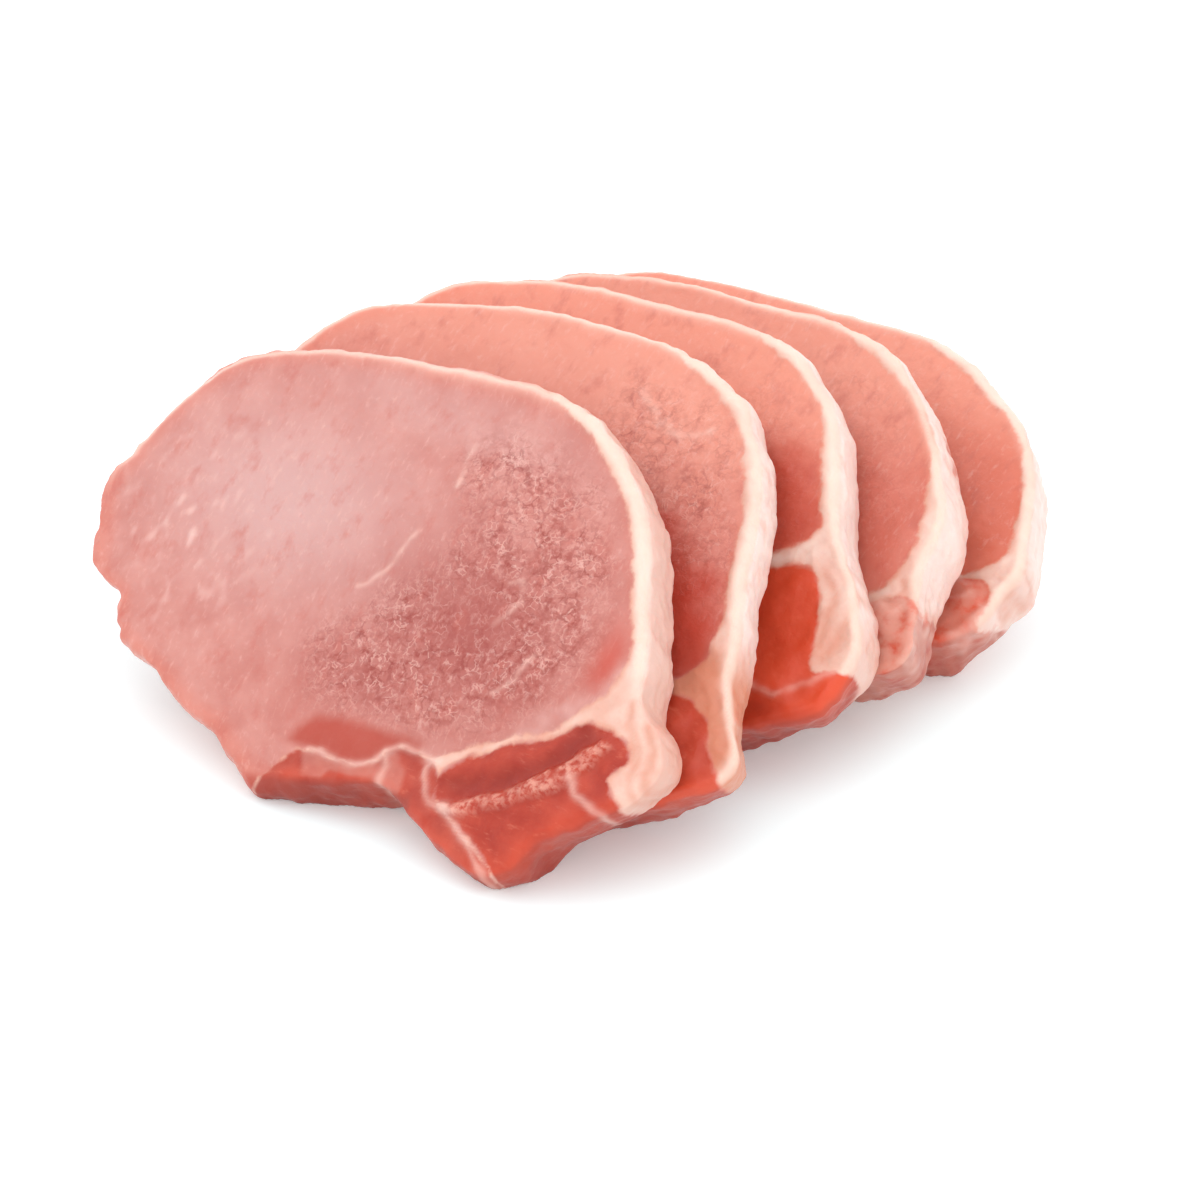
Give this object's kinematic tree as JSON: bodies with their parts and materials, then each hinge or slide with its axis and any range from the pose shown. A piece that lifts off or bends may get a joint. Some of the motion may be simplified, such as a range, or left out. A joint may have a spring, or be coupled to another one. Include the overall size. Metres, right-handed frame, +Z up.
{
  "type": "sliced raw pork loin",
  "caption": "Raw boneless pork loin cut into thin slices that lean together in a row, each with a pale eye, a red side muscle and a fat rim.",
  "frame": {"origin": "middle of the row's bounding box, on the surface the slices stand on", "axes": "+Z up, +Y along the row from the front slice to the last one, +X towards the fat rim"},
  "size_m": [0.1218, 0.1404, 0.0558],
  "materials": {
    "loin_meat": "moist pale pink raw meat",
    "side_meat": "moist deep red raw meat",
    "back_fat": "waxy cream white fat"
  },
  "bodies": {
    "root": {"slice_1_eye": "loin_meat", "slice_1_fat": "back_fat", "slice_1_side_muscle": "side_meat", "slice_2_eye": "loin_meat", "slice_2_fat": "back_fat", "slice_2_side_muscle": "side_meat", "slice_3_eye": "loin_meat", "slice_3_fat": "back_fat", "slice_3_side_muscle": "side_meat", "slice_4_eye": "loin_meat", "slice_4_fat": "back_fat", "slice_4_side_muscle": "side_meat", "slice_5_eye": "loin_meat", "slice_5_fat": "back_fat", "slice_5_side_muscle": "side_meat"}
  },
  "joints": []
}
